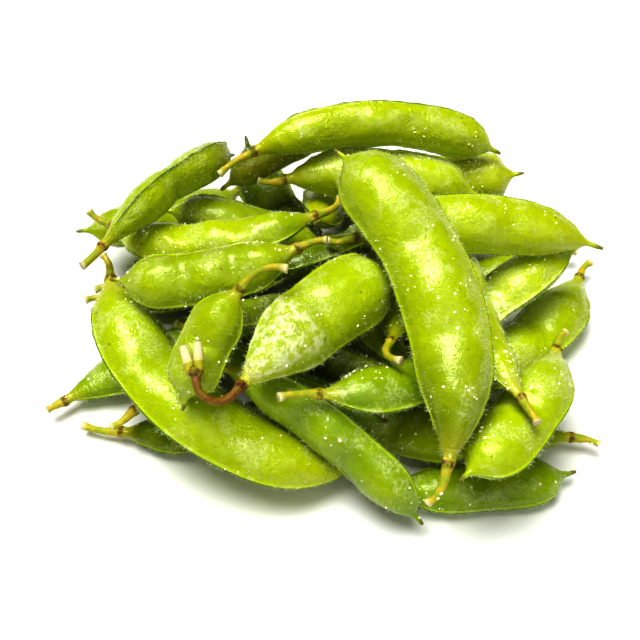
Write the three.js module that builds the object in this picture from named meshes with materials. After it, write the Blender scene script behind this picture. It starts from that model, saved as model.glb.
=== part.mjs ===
// A loose heap of boiled, salted edamame: whole soybean pods, each with its calyx and a bit of stalk.
// Every pod grew as one piece, so every pod is one closed body. Millimetres, +Z up.
import * as THREE from 'three';

// ---- driving dimensions of a pod ----------------------------------------------------------------
const SIDES = 8;                 // corners of a pod's section; corners 0 and 4 lie on its two sutures
const THICKNESS_RATIO = 0.64;    // a pod's thickness over its width, at a bean
const VALLEY_DEPTH = 0.16;       // share of the thickness lost between two beans
const WAIST_DEPTH = 0.05;        // share of the width lost there
const VALLEY_REACH = 0.09;       // share of the length over which a valley fades away
const LEAST_SWEEP = 0.02;        // radians; even a straight pod bends this much
const STALK_RADIUS = 0.9;
const STALK_END_RADIUS = 1.2;    // swollen end where the stalk broke off
const CALYX_LENGTH = 2.4;
const CALYX_RADIUS = 2.2;
const NECK_RADIUS = 1.7;         // the pod just past its calyx
const BEAK_RADIUS = 1.0;         // root of the dry point at the far end
const BEAK_END_RADIUS = 0.45;
// Rings of the stalk: share of its length behind the calyx, and radius.
const STALK_RINGS = [
  [1, STALK_END_RADIUS],
  [0.7, STALK_RADIUS],
  [0.35, STALK_RADIUS],
  [0, STALK_RADIUS * 1.2],
];
// Rings of the calyx: share of its length behind the body, and radius.
const CALYX_RINGS = [
  [0.65, CALYX_RADIUS * 0.85],
  [0.1, CALYX_RADIUS],
];
const SKIN_COLOUR = '#b4cf2a';
const SKIN_ROUGHNESS = 0.3;

// ---- driving numbers of the heap ----------------------------------------------------------------
const GAP = 0.25;                // air kept round every pod
const BALL_STEP = 2.8;           // spacing of the balls that stand for a pod while the heap settles
const BROAD = 0.4;               // half width over half thickness that asks for three balls abreast
const CALYX_BALL = 0.4;          // share of the calyx's length behind the body where its ball lies
const UNIT_VOLUME = 5000;        // box of length, width and thickness that weighs one unit
const GROW_STEPS = 400;          // pods swell from threads in their given places and make room
const SETTLE_STEPS = 400;        // pods sink until others or the ground hold them
const CLEAR_STEPS = 500;         // last overlaps are worked out
const FIRST_GROWTH = 0.15;       // share of its full girth that a pod starts with
const DROP = 0.08;               // how far a free pod sinks in one step
const REACH = 0.35;              // furthest that one contact moves a pod in one step
const FRICTION = 0.8;
const RECALL = 0.03;             // how strongly a pod is held to its given place while it grows
const HUDDLE = 0.05;             // how strongly it is held over that place while it sinks
const TURN_HUDDLE = 2;           // how much harder its direction is held than its place

// ---- the pods -----------------------------------------------------------------------------------
// Where each pod is laid before the heap settles, in millimetres and degrees.
// at: halfway between the ends of the pod.
// aim: heading from stalk to beak, from +X towards +Y; rise of the beak; turn of the bow about the
// pod's length, where 0 has the outside of the bow up and 90 has it to the right of the heading.
// form: length from calyx to beak, width over the sutures, and how far the pod curves in all.
// ends: shares of the length over which the neck and the snout narrow, and the snout's shape, 0.5
// round to 1 pointed. stalk: its length, how far it bends, and towards which side of the pod.
// beak: length of the dry point.
const PODS = [
  // the top of the heap
  { name: 'crown_pod_1', at: [9, -4, 36], aim: [103, 36, 70], form: [70, 17, 62], beans: 3,
    ends: [0.32, 0.16, 0.55], stalk: [6, 50, 150] },
  { name: 'crown_pod_2', at: [12, 37, 40], aim: [1, -4, -20], form: [58, 10.5, 50], beans: 3,
    ends: [0.2, 0.2, 0.6], stalk: [7, 20, 180] },
  { name: 'crown_pod_3', at: [-22, 23, 42], aim: [-178, -4, -115], form: [46, 11.5, 40], beans: 3,
    ends: [0.24, 0.24, 0.7], stalk: [6, 60, 180] },
  { name: 'crown_pod_4', at: [36, 13, 32], aim: [10, -2, -40], form: [54, 13.5, 32], beans: 3,
    ends: [0.25, 0.4, 1], beak: 3.5 },
  { name: 'crown_pod_5', at: [14, 33, 46], aim: [8, 12, -35], form: [45, 12.5, 30], beans: 2 },
  { name: 'crown_pod_6', at: [-1, -6, 34], aim: [58, 14, -85], form: [42, 16.5, 20], beans: 2,
    ends: [0.5, 0.25, 0.55], stalk: [11, 150, 0] },
  { name: 'crown_pod_7', at: [26, 38, 38], aim: [5, 10, 125], form: [42, 12.5, 20], beans: 2,
    ends: [0.3, 0.12, 0.5] },
  // the left of the heap
  { name: 'left_pod_1', at: [-16, -2, 26], aim: [-36, -10, 105], form: [74, 17, 85], beans: 3,
    ends: [0.16, 0.35, 0.9], beak: 5 },
  { name: 'left_pod_2', at: [-19.0, 0.0, 39.0], aim: [172, 8, -100], form: [38, 12, 30], beans: 3 },
  { name: 'left_pod_3', at: [-17, -11, 34], aim: [-125, -40, 50], form: [24, 11, 25], beans: 2,
    stalk: [9, 70, 180] },
  { name: 'left_pod_4', at: [-36, 17, 18], aim: [-50, -45, -12], form: [40, 11, 20], beans: 2 },
  { name: 'left_pod_5', at: [-34, 27, 40], aim: [47, -3, 17], form: [43, 12, 50], beans: 2,
    ends: [0.4, 0.2, 0.7] },
  { name: 'left_pod_6', at: [-28, 36, 22], aim: [-150, 2, -105], form: [42, 11.5, 20], beans: 2 },
  { name: 'left_pod_7', at: [-18, 28, 24], aim: [180, 4, -15], form: [40, 11, 20], beans: 2 },
  { name: 'left_pod_8', at: [-37, -3, 6], aim: [33, 5, -45], form: [42, 13, 15], beans: 2,
    ends: [0.45, 0.25, 0.6], stalk: [2, 0, 0] },
  { name: 'left_pod_9', at: [-17, -18, 5], aim: [5, 0, 105], form: [42, 11.5, 20], beans: 2,
    stalk: [7, 20, 180] },
  { name: 'left_pod_10', at: [-20, 5, 10], aim: [25, 0, -30], form: [44, 12, 20], beans: 2 },
  { name: 'left_pod_11', at: [-34, 34, 16], aim: [-150, 20, -110], form: [42, 13, 30], beans: 2 },
  // the front of the heap
  { name: 'front_pod_1', at: [2, -14, 17], aim: [-27, -22, -8], form: [50, 12, 30], beans: 3,
    stalk: [5, 20, 0] },
  { name: 'front_pod_2', at: [15, -14, 20], aim: [15, -8, 105], form: [38, 12.5, 40], beans: 2,
    stalk: [6, 20, 0] },
  { name: 'front_pod_3', at: [-2, -10, 20], aim: [-12, 0, 105], form: [42, 11.5, 30], beans: 2 },
  { name: 'front_pod_4', at: [-8, -4, 21], aim: [-173, 0, -105], form: [42, 10.5, 20], beans: 2 },
  { name: 'front_pod_5', at: [19, 12, 26], aim: [67, -5, 85], form: [46, 12, 20], beans: 2,
    stalk: [8, 80, 0] },
  { name: 'front_pod_6', at: [5, 3, 19], aim: [119, -6, -95], form: [42, 12, 20], beans: 2,
    stalk: [6, 100, 0] },
  { name: 'front_pod_7', at: [2, -2, 13], aim: [-57, 20, 20], form: [42, 11, 25], beans: 2 },
  { name: 'front_pod_8', at: [22, -13, 6], aim: [-8, 2, 85], form: [38, 11.5, 20], beans: 2 },
  // the right of the heap
  { name: 'right_pod_1', at: [34, -2, 26], aim: [105, 14, -80], form: [47, 11.5, 30], beans: 3,
    stalk: [4, 10, 0] },
  { name: 'right_pod_2', at: [41, 6, 18], aim: [40, 10, -85], form: [44, 15, 25], beans: 2,
    ends: [0.3, 0.4, 0.8] },
  { name: 'right_pod_3', at: [42, -2, 9], aim: [-112, -3, -85], form: [46, 15, 40], beans: 2 },
  { name: 'right_pod_4', at: [35, -16, 14], aim: [-134, -10, -95], form: [40, 14, 30], beans: 2 },
  { name: 'right_pod_5', at: [31, -15, 5], aim: [172, -2, -105], form: [40, 12.5, 20], beans: 2 },
  { name: 'right_pod_6', at: [34, -17, 3], aim: [-30, -1, 20], form: [38, 11, 20], beans: 2 },
  { name: 'right_pod_7', at: [38, 24, 12], aim: [-166, -3, -65], form: [42, 11, 20], beans: 2 },
  // the middle of the heap
  { name: 'middle_pod_1', at: [-20, 12, 25], aim: [10, 11, 115], form: [42, 11.5, 30], beans: 2 },
  { name: 'middle_pod_2', at: [-26, 18, 13], aim: [-10, -10, 115], form: [42, 12, 25], beans: 2 },
  { name: 'middle_pod_3', at: [4, 20, 26], aim: [-130, -4, -70], form: [42, 11.5, 20], beans: 2 },
  { name: 'middle_pod_4', at: [-3, 14, 12], aim: [-107, -7, -75], form: [42, 11.5, 20], beans: 2 },
  { name: 'middle_pod_5', at: [10, 6, 9], aim: [30, 0, 60], form: [44, 12, 20], beans: 2 },
  // the back of the heap
  { name: 'back_pod_1', at: [-6, 34, 28], aim: [119, 45, -95], form: [42, 12.5, 35], beans: 2 },
  { name: 'back_pod_2', at: [21, 46, 16], aim: [3, 0, 30], form: [46, 12.5, 50], beans: 2 },
  { name: 'back_pod_3', at: [0, 48, 20], aim: [-92, 50, -95], form: [44, 11.5, 20], beans: 2 },
  { name: 'back_pod_4', at: [-12, 44, 38], aim: [-170, -30, -85], form: [28, 10, 40], beans: 1 },
  { name: 'back_pod_5', at: [27, 36, 26], aim: [165, -6, -80], form: [44, 11, 20], beans: 2 },
];

const DEFAULT_ENDS = [0.3, 0.24, 0.65];
const DEFAULT_STALK = [4, 30, 0];
const DEFAULT_BEAK = 2.5;

// Where the rings of a pod lie along its length: on its beans, between them, and close at its ends.
const RINGS = {
  1: [0.02, 0.1, 0.2, 0.32, 0.42, 0.52, 0.63, 0.75, 0.9, 1],
  2: [0.02, 0.1, 0.2, 0.32, 0.42, 0.51, 0.6, 0.72, 0.9, 1],
  3: [0.02, 0.1, 0.22, 0.36, 0.5, 0.64, 0.78, 0.88, 0.95, 1],
};
const VALLEYS = { 1: [], 2: [0.51], 3: [0.36, 0.64] };

const radians = THREE.MathUtils.degToRad;
const lerp = THREE.MathUtils.lerp;

// ---- the shape of one pod -----------------------------------------------------------------------

function fillDefaults(spec) {
  return { ends: DEFAULT_ENDS, stalk: DEFAULT_STALK, beak: DEFAULT_BEAK, ...spec };
}

// Share of the full section at a share of the length: the neck swells, the snout closes.
function swell(pod, share) {
  const [neck, snout, shape] = pod.ends;
  const rise = Math.min(share / neck, 1);
  const fall = Math.min((1 - share) / snout, 1);
  const neckSwell = 1 - (1 - rise) ** 2;
  const snoutSwell = (1 - (1 - fall) ** 2) ** shape;
  return neckSwell * snoutSwell;
}

// Half the width and half the thickness of the pod's body at a share of its length.
function bodySection(pod, share) {
  const width = pod.form[1] / 2;
  const root = lerp(NECK_RADIUS, BEAK_RADIUS, share);
  const full = swell(pod, share);
  let dip = 0;
  for (const valley of VALLEYS[pod.beans]) {
    dip += Math.exp(-(((share - valley) / VALLEY_REACH) ** 2));
  }
  return {
    halfWidth: lerp(root, width, full) * (1 - WAIST_DEPTH * dip),
    halfThickness: lerp(root, width * THICKNESS_RATIO, full) * (1 - VALLEY_DEPTH * dip),
  };
}

// How far the middle of the curved pod's mass lies outside the straight line between its ends.
function bowHeight(pod) {
  const [length, , bow] = pod.form;
  const sweep = Math.max(radians(bow), LEAST_SWEEP);
  return length / sweep * (Math.sin(sweep / 2) / (sweep / 2) - Math.cos(sweep / 2));
}

// The pod's spine in its own frame: x from stalk to beak, y towards the outside of the bow, z through
// the flat of the pod. Distance 0 is the calyx; the stalk lies before it and the beak past the body.
function spineAt(pod, distance) {
  const [length, , bow] = pod.form;
  const sweep = Math.max(radians(bow), LEAST_SWEEP);
  const radius = length / sweep;
  const inside = THREE.MathUtils.clamp(distance, 0, length);
  const angle = inside / radius - sweep / 2;
  const lift = radius * Math.sin(sweep / 2) / (sweep / 2);
  const centre = new THREE.Vector3(radius * Math.sin(angle), radius * Math.cos(angle) - lift, 0);
  const along = new THREE.Vector3(Math.cos(angle), -Math.sin(angle), 0);
  const outside = new THREE.Vector3(Math.sin(angle), Math.cos(angle), 0);
  const flat = new THREE.Vector3(0, 0, 1);
  if (distance > length) {
    centre.addScaledVector(along, distance - length);
  }
  if (distance < -CALYX_LENGTH) {
    const [reach, bend, side] = pod.stalk;
    const behind = -distance - CALYX_LENGTH;
    const rate = Math.max(radians(bend), LEAST_SWEEP) / reach;
    const towards = outside.clone().multiplyScalar(Math.cos(radians(side)));
    towards.addScaledVector(flat, Math.sin(radians(side)));
    centre.addScaledVector(along, -CALYX_LENGTH - Math.sin(rate * behind) / rate);
    centre.addScaledVector(towards, (1 - Math.cos(rate * behind)) / rate);
    const axis = new THREE.Vector3().crossVectors(towards, along).normalize();
    for (const direction of [along, outside, flat]) {
      direction.applyAxisAngle(axis, rate * behind);
    }
  } else if (distance < 0) {
    centre.addScaledVector(along, distance);
  }
  return { centre, along, outside, flat };
}

// The sections that the pod's skin runs through, from the broken end of the stalk to the beak.
function podSections(pod) {
  const [length] = pod.form;
  const [stalk] = pod.stalk;
  const round = (distance, radius) => ({ distance, halfWidth: radius, halfThickness: radius });
  const sections = [
    ...STALK_RINGS.map(([share, radius]) => round(-CALYX_LENGTH - stalk * share, radius)),
    ...CALYX_RINGS.map(([share, radius]) => round(-CALYX_LENGTH * share, radius)),
  ];
  for (const share of RINGS[pod.beans]) {
    sections.push({ distance: share * length, ...bodySection(pod, share) });
  }
  sections.push(round(length + pod.beak * 0.5, (BEAK_RADIUS + BEAK_END_RADIUS) / 2));
  sections.push(round(length + pod.beak, BEAK_END_RADIUS));
  return sections;
}

// One closed skin through the sections, with a small flat cap at each end.
function podGeometry(pod) {
  const sections = podSections(pod);
  const points = [];
  const faces = [];
  for (const section of sections) {
    const { centre, outside, flat } = spineAt(pod, section.distance);
    for (let corner = 0; corner < SIDES; corner += 1) {
      const angle = (corner / SIDES) * 2 * Math.PI;
      const point = centre.clone();
      point.addScaledVector(outside, section.halfWidth * Math.cos(angle));
      point.addScaledVector(flat, section.halfThickness * Math.sin(angle));
      points.push(point.x, point.y, point.z);
    }
  }
  const last = sections.length - 1;
  const stalkEnd = spineAt(pod, sections[0].distance).centre;
  const beakEnd = spineAt(pod, sections[last].distance).centre;
  points.push(...stalkEnd.toArray(), ...beakEnd.toArray());
  const stalkCap = sections.length * SIDES;
  const beakCap = stalkCap + 1;
  for (let corner = 0; corner < SIDES; corner += 1) {
    const next = (corner + 1) % SIDES;
    for (let ring = 0; ring < last; ring += 1) {
      const here = ring * SIDES;
      const there = here + SIDES;
      faces.push(here + corner, here + next, there + next);
      faces.push(here + corner, there + next, there + corner);
    }
    faces.push(stalkCap, next, corner);
    faces.push(beakCap, last * SIDES + corner, last * SIDES + next);
  }
  const geometry = new THREE.BufferGeometry();
  geometry.setAttribute('position', new THREE.Float32BufferAttribute(points, 3));
  geometry.setIndex(faces);
  geometry.computeVertexNormals();
  return geometry;
}

// ---- the heap -----------------------------------------------------------------------------------

// The pod's place as it was given: which way it lies and how it is turned about its own length.
function givenTurn(aim) {
  const [heading, rise, turn] = aim.map(radians);
  const along = new THREE.Vector3(
    Math.cos(rise) * Math.cos(heading),
    Math.cos(rise) * Math.sin(heading),
    Math.sin(rise),
  );
  const upright = new THREE.Vector3(0, 0, 1).addScaledVector(along, -along.z).normalize();
  const right = new THREE.Vector3().crossVectors(along, upright);
  const outside = upright.multiplyScalar(Math.cos(turn)).addScaledVector(right, Math.sin(turn));
  const flat = new THREE.Vector3().crossVectors(along, outside);
  const basis = new THREE.Matrix4().makeBasis(along, outside, flat);
  return new THREE.Quaternion().setFromRotationMatrix(basis);
}

// The balls that fill a pod's skin: three abreast where it is broad, one where it is slender.
function podBalls(pod) {
  const [length] = pod.form;
  const [stalk] = pod.stalk;
  const balls = [];
  const addBall = (distance, aside, radius) => {
    const { centre, outside } = spineAt(pod, distance);
    centre.addScaledVector(outside, aside);
    balls.push(centre.x, centre.y, centre.z, radius + GAP);
  };
  for (let step = 0; step <= 2; step += 1) {
    addBall(-CALYX_LENGTH - stalk * (1 - step / 2), 0, STALK_END_RADIUS);
  }
  addBall(-CALYX_LENGTH * CALYX_BALL, 0, CALYX_RADIUS);
  const count = Math.round(length / BALL_STEP);
  for (let step = 0; step < count; step += 1) {
    const share = (step + 0.5) / count;
    const { halfWidth, halfThickness } = bodySection(pod, share);
    const aside = halfWidth - halfThickness;
    addBall(share * length, 0, halfThickness);
    if (aside > BROAD) {
      addBall(share * length, aside, halfThickness);
      addBall(share * length, -aside, halfThickness);
    }
  }
  addBall(length + pod.beak, 0, BEAK_END_RADIUS);
  return Float64Array.from(balls);
}

// A pod as a stiff body that can be pushed: its place, its balls, and how hard it is to move.
class HeapPod {
  constructor(spec) {
    this.pod = fillDefaults(spec);
    this.turn = givenTurn(this.pod.aim);
    const outside = new THREE.Vector3(0, 1, 0).applyQuaternion(this.turn);
    this.place = new THREE.Vector3(...this.pod.at).addScaledVector(outside, bowHeight(this.pod));
    this.home = this.place.clone();
    this.homeTurn = this.turn.clone();
    this.lastPlace = this.place.clone();
    this.lastTurn = this.turn.clone();
    this.balls = podBalls(this.pod);
    this.world = new Float64Array(this.balls.length);
    this.low = [0, 0, 0];
    this.high = [0, 0, 0];
    const [length, width] = this.pod.form;
    const thickness = width * THICKNESS_RATIO;
    const mass = length * width * thickness / UNIT_VOLUME;
    this.ease = 1 / mass;
    this.spin = new THREE.Vector3(
      12 / (mass * (width ** 2 + thickness ** 2)),
      12 / (mass * (length ** 2 + thickness ** 2)),
      12 / (mass * (length ** 2 + width ** 2)),
    );
    this.growth = FIRST_GROWTH;
    this.refresh();
  }

  // Works out where the pod's balls are now, and the box round them.
  refresh() {
    const { x, y, z, w } = this.turn;
    const { balls, world, place, low, high } = this;
    low.fill(Infinity);
    high.fill(-Infinity);
    for (let i = 0; i < balls.length; i += 4) {
      const bx = balls[i];
      const by = balls[i + 1];
      const bz = balls[i + 2];
      const tx = 2 * (y * bz - z * by);
      const ty = 2 * (z * bx - x * bz);
      const tz = 2 * (x * by - y * bx);
      const radius = balls[i + 3] * this.growth;
      world[i] = bx + w * tx + y * tz - z * ty + place.x;
      world[i + 1] = by + w * ty + z * tx - x * tz + place.y;
      world[i + 2] = bz + w * tz + x * ty - y * tx + place.z;
      world[i + 3] = radius;
      for (let axis = 0; axis < 3; axis += 1) {
        low[axis] = Math.min(low[axis], world[i + axis] - radius);
        high[axis] = Math.max(high[axis], world[i + axis] + radius);
      }
    }
  }

  // The pod's turning answer to a push along a direction at a point, in the pod's own frame.
  leverage(point, direction) {
    const arm = point.clone().sub(this.place);
    return arm.cross(direction).applyQuaternion(this.turn.clone().invert());
  }

  yieldTo(point, direction) {
    const lever = this.leverage(point, direction);
    return this.ease + lever.clone().multiply(lever).dot(this.spin);
  }

  push(point, direction, amount) {
    const swing = this.leverage(point, direction).multiply(this.spin).multiplyScalar(amount);
    swing.applyQuaternion(this.turn);
    this.place.addScaledVector(direction, amount * this.ease);
    const size = swing.length();
    if (size > 0) {
      const step = new THREE.Quaternion().setFromAxisAngle(swing.divideScalar(size), size);
      this.turn.premultiply(step).normalize();
    }
  }

  // How far the pod's stuff at a point has moved since the step began.
  travel(point) {
    const before = point.clone().sub(this.place);
    before.applyQuaternion(this.turn.clone().invert()).applyQuaternion(this.lastTurn);
    return point.clone().sub(before).sub(this.lastPlace);
  }
}

// Moves two touching pods apart, or one pod off the ground, and lets friction hold them.
function separate(first, second, point, direction, depth) {
  const movePair = (way, distance) => {
    const answer = first.yieldTo(point, way) + (second ? second.yieldTo(point, way) : 0);
    first.push(point, way, distance / answer);
    if (second) {
      second.push(point, way, -distance / answer);
    }
  };
  const distance = Math.min(depth, REACH);
  movePair(direction, distance);
  const slip = first.travel(point);
  if (second) {
    slip.sub(second.travel(point));
  }
  slip.addScaledVector(direction, -slip.dot(direction));
  const size = slip.length();
  if (size > 1e-6) {
    movePair(slip.divideScalar(-size), Math.min(size, FRICTION * distance));
  }
}

function boxesMeet(first, second) {
  return [0, 1, 2].every((axis) => (
    first.low[axis] < second.high[axis] && second.low[axis] < first.high[axis]
  ));
}

// Finds how two pods' balls overlap, taken together as one contact, and parts them.
function partPods(first, second) {
  if (!boxesMeet(first, second)) {
    return;
  }
  const point = new THREE.Vector3();
  const direction = new THREE.Vector3();
  let weight = 0;
  let deepest = 0;
  for (let i = 0; i < first.world.length; i += 4) {
    const [ax, ay, az, ar] = first.world.subarray(i, i + 4);
    for (let j = 0; j < second.world.length; j += 4) {
      const dx = ax - second.world[j];
      const dy = ay - second.world[j + 1];
      const dz = az - second.world[j + 2];
      const reach = ar + second.world[j + 3];
      const square = dx * dx + dy * dy + dz * dz;
      if (square < reach * reach) {
        const distance = Math.sqrt(square) + 1e-9;
        const depth = reach - distance;
        const middle = (ar - depth / 2) / distance;
        const share = depth * depth;
        direction.x += dx / distance * share;
        direction.y += dy / distance * share;
        direction.z += dz / distance * share;
        point.x += (ax - dx * middle) * share;
        point.y += (ay - dy * middle) * share;
        point.z += (az - dz * middle) * share;
        weight += share;
        deepest = Math.max(deepest, depth);
      }
    }
  }
  if (weight > 0 && direction.length() > 1e-6) {
    point.divideScalar(weight);
    separate(first, second, point, direction.normalize(), deepest);
    first.refresh();
    second.refresh();
  }
}

// Lifts the lowest ball of a pod out of the ground, twice, so that both its ends come to rest.
function liftFromGround(body) {
  const up = new THREE.Vector3(0, 0, 1);
  for (let turn = 0; turn < 2; turn += 1) {
    let lowest = 0;
    let at = -1;
    for (let i = 0; i < body.world.length; i += 4) {
      const height = body.world[i + 2] - body.world[i + 3] + GAP * body.growth;
      if (height < lowest) {
        lowest = height;
        at = i;
      }
    }
    if (at < 0) {
      return;
    }
    const point = new THREE.Vector3(body.world[at], body.world[at + 1], 0);
    separate(body, null, point, up, -lowest);
    body.refresh();
  }
}

function stepHeap(bodies, growth, drop, recall, huddle) {
  for (const body of bodies) {
    body.growth = growth;
    body.lastPlace.copy(body.place);
    body.lastTurn.copy(body.turn);
    body.place.lerp(body.home, recall);
    body.turn.slerp(body.homeTurn, recall + TURN_HUDDLE * huddle);
    body.place.x = lerp(body.place.x, body.home.x, huddle);
    body.place.y = lerp(body.place.y, body.home.y, huddle);
    body.place.z -= drop;
    body.refresh();
  }
  for (let i = 0; i < bodies.length; i += 1) {
    for (let j = i + 1; j < bodies.length; j += 1) {
      partPods(bodies[i], bodies[j]);
    }
  }
  bodies.forEach(liftFromGround);
}

function settledHeap(specs) {
  const bodies = specs.map((spec) => new HeapPod(spec));
  for (let step = 1; step <= GROW_STEPS; step += 1) {
    stepHeap(bodies, lerp(FIRST_GROWTH, 1, step / GROW_STEPS), 0, RECALL, 0);
  }
  for (let step = 0; step < SETTLE_STEPS; step += 1) {
    stepHeap(bodies, 1, DROP, 0, HUDDLE);
  }
  for (let step = 0; step < CLEAR_STEPS; step += 1) {
    stepHeap(bodies, 1, 0, 0, 0);
  }
  return bodies;
}

// ---- the object ---------------------------------------------------------------------------------

const heap = new THREE.Group();
const bodies = settledHeap(PODS);
const box = new THREE.Box3();
for (const body of bodies) {
  const material = new THREE.MeshStandardMaterial({
    color: SKIN_COLOUR,
    roughness: SKIN_ROUGHNESS,
    metalness: 0,
  });
  const mesh = new THREE.Mesh(podGeometry(body.pod), material);
  mesh.name = body.pod.name;
  mesh.position.copy(body.place);
  mesh.quaternion.copy(body.turn);
  heap.add(mesh);
  box.expandByObject(mesh, true);
}
// The origin is the middle of the heap's footprint, on the ground.
heap.position.set(-(box.min.x + box.max.x) / 2, -(box.min.y + box.max.y) / 2, -box.min.z);

const object = new THREE.Group();
object.add(heap);

export default object;
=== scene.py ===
# %% [markdown]
# # A heap of boiled, salted edamame
# Edamame are soybean pods that are picked green, boiled and salted. Each pod is a flat bag of two
# valves, swollen over its beans, with a seam down both edges, a bit of stalk at one end and a dry
# beak at the other. The heap's solids already say where each pod lies and how it bends. This lesson
# dresses them: it reads each solid, lofts a fine skin over it, and adds stalks, hairs and salt.

# %% Load the frame
import math

import bmesh
import bpy
import numpy as np
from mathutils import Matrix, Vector


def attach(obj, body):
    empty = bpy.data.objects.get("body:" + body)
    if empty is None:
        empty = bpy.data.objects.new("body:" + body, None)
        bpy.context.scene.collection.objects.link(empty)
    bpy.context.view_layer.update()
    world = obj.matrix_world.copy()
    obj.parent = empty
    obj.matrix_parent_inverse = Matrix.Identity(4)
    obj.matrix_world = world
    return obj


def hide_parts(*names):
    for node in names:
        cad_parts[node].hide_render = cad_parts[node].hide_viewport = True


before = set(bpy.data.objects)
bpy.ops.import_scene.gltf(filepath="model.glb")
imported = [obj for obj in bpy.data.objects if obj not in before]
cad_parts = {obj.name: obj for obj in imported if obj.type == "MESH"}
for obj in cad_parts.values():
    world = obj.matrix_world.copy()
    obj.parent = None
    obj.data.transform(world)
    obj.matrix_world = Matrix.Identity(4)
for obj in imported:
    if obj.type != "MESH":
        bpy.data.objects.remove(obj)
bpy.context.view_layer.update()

MM = 0.001
POD_NAMES = sorted(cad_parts)

# %% [markdown]
# ## The camera and the light
# A heap like this is looked at from above, as on a table. A long lens at some distance keeps the
# pods' proportions. The light is broad and comes from overhead, a little behind the heap, which
# makes the wet skins shine. A weaker light from the front and a pale sky fill the shadows. Both
# lights are suns with a wide disc, so they light the floor evenly however far it is seen.

# %% Camera
LENS_MM = 50.0
CAMERA_ELEVATION = math.radians(52.0)
CAMERA_DISTANCE = 195.0 * MM
LOOK_AT = Vector((-3.7 * MM, -13.9 * MM, 20.0 * MM))

camera = bpy.data.objects.new("camera", bpy.data.cameras.new("camera"))
camera.data.lens = LENS_MM
camera.data.clip_start = 5 * MM
back = Vector((0.0, -math.cos(CAMERA_ELEVATION), math.sin(CAMERA_ELEVATION)))
camera.location = LOOK_AT + back * CAMERA_DISTANCE
camera.rotation_euler = back.to_track_quat("Z", "Y").to_euler()
bpy.context.scene.collection.objects.link(camera)
bpy.context.scene.camera = camera
print("camera at", tuple(round(value, 3) for value in camera.location))

# %% Lights
# name, the side it stands on as a direction from the heap, strength, and breadth in degrees
LIGHTS = [
    ("overhead_light", (-0.20, 0.10, 1.0), 3.2, 35),
    ("front_light", (0.30, -0.8, 1.0), 0.92, 60),
]
SKY_STRENGTH = 0.02
VIEW_GAMMA = 0.62          # below 1 deepens the shadows
VIEW_EXPOSURE = 0.16


def add_light(name, side, strength, breadth):
    light = bpy.data.lights.new(name, "SUN")
    light.energy = strength
    light.angle = math.radians(breadth)
    lamp = bpy.data.objects.new(name, light)
    lamp.rotation_euler = Vector(side).to_track_quat("Z", "Y").to_euler()
    bpy.context.scene.collection.objects.link(lamp)


def add_sky():
    """White where it is seen past the floor's edge, but only a weak fill on the pods."""
    world = bpy.data.worlds.new("pale sky")
    world.use_nodes = True
    tree = world.node_tree
    background = tree.nodes["Background"]
    background.inputs["Color"].default_value = (1.0, 1.0, 1.0, 1.0)
    seen = tree.nodes.new("ShaderNodeLightPath").outputs["Is Camera Ray"]
    strength = tree.nodes.new("ShaderNodeMapRange")
    strength.inputs["To Min"].default_value = SKY_STRENGTH
    tree.links.new(seen, strength.inputs["Value"])
    tree.links.new(strength.outputs[0], background.inputs["Strength"])
    bpy.context.scene.world = world


for light in LIGHTS:
    add_light(*light)
add_sky()
bpy.context.scene.view_settings.view_transform = "Standard"
bpy.context.scene.view_settings.gamma = VIEW_GAMMA
bpy.context.scene.view_settings.exposure = VIEW_EXPOSURE
print(len(LIGHTS), "broad lights and a pale sky")

# %% [markdown]
# ## Reading a pod from its solid
# A pod's solid is a tube of rings with eight corners each, closed by a point at both ends. Only the
# two end points have eight edges, so they are easy to find. From the stalk's end the rings are
# walked one after the other: the corner that two neighbours share on the far side belongs to the
# next ring. That gives every ring's middle, its half width between the seams and its half
# thickness, and nothing has to be written down twice.

# %% Walk the rings of a solid
SIDES = 8
WELD = 1e-6


def neighbours(corner):
    return {edge.other_vert(corner) for edge in corner.link_edges}


def first_ring(end):
    after = {}
    for face in end.link_faces:
        corners = list(face.verts)
        start = corners.index(end)
        after[corners[start - 1]] = corners[(start + 1) % 3]
    ring = [next(iter(after))]
    while len(ring) < SIDES:
        ring.append(after[ring[-1]])
    return ring


def ring_corners(node):
    """The solid's corners as an array of ring, corner and x, y, z in millimetres, stalk first."""
    solid = bmesh.new()
    solid.from_mesh(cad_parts[node].data)
    bmesh.ops.remove_doubles(solid, verts=solid.verts, dist=WELD)
    ends = [corner for corner in solid.verts if len(corner.link_edges) == SIDES]
    stalk_end = max(ends, key=lambda end: sum(edge.calc_length() for edge in end.link_edges))
    rings = [first_ring(stalk_end)]
    seen = {stalk_end, *rings[0]}
    while True:
        last = rings[-1]
        pairs = [neighbours(last[i - 1]) & neighbours(last[i]) for i in range(SIDES)]
        beyond = [(shared - seen).pop() for shared in pairs]
        if len(set(beyond)) == 1:
            break
        rings.append(beyond)
        seen.update(beyond)
    corners = np.array([[corner.co[:] for corner in ring] for ring in rings]) / MM
    solid.free()
    return corners


example = ring_corners(POD_NAMES[0])
print("a pod has", len(example), "rings")

# %% How far the skin is drawn in from the solid
STALK_RINGS = 4
CALYX_RINGS = 2
BEAK_RINGS = 2
BODY_START = STALK_RINGS + CALYX_RINGS
VALLEY_RATIO = 0.6        # thickness over width that only a ring between two beans falls below
SECTION_SCALE = 0.975     # the smooth skin lies between the solid's corners and its facets
STALK_SLIMMING = 0.82
CALYX_SLIMMING = 0.48     # the solid's stout calyx is drawn in to a slender ring
BEAK_SLIMMING = 0.70
NECK_TAPER = (0.50, 0.36)  # share of the girth taken off at the neck, and of the length it fades over
SNOUT_TAPER = (0.34, 0.18)


def end_taper(share, taper):
    """The girth left near an end, when the share is measured from that end."""
    depth, reach = taper
    return 1 - depth * np.clip(1 - share / reach, 0, 1) ** 2


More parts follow.
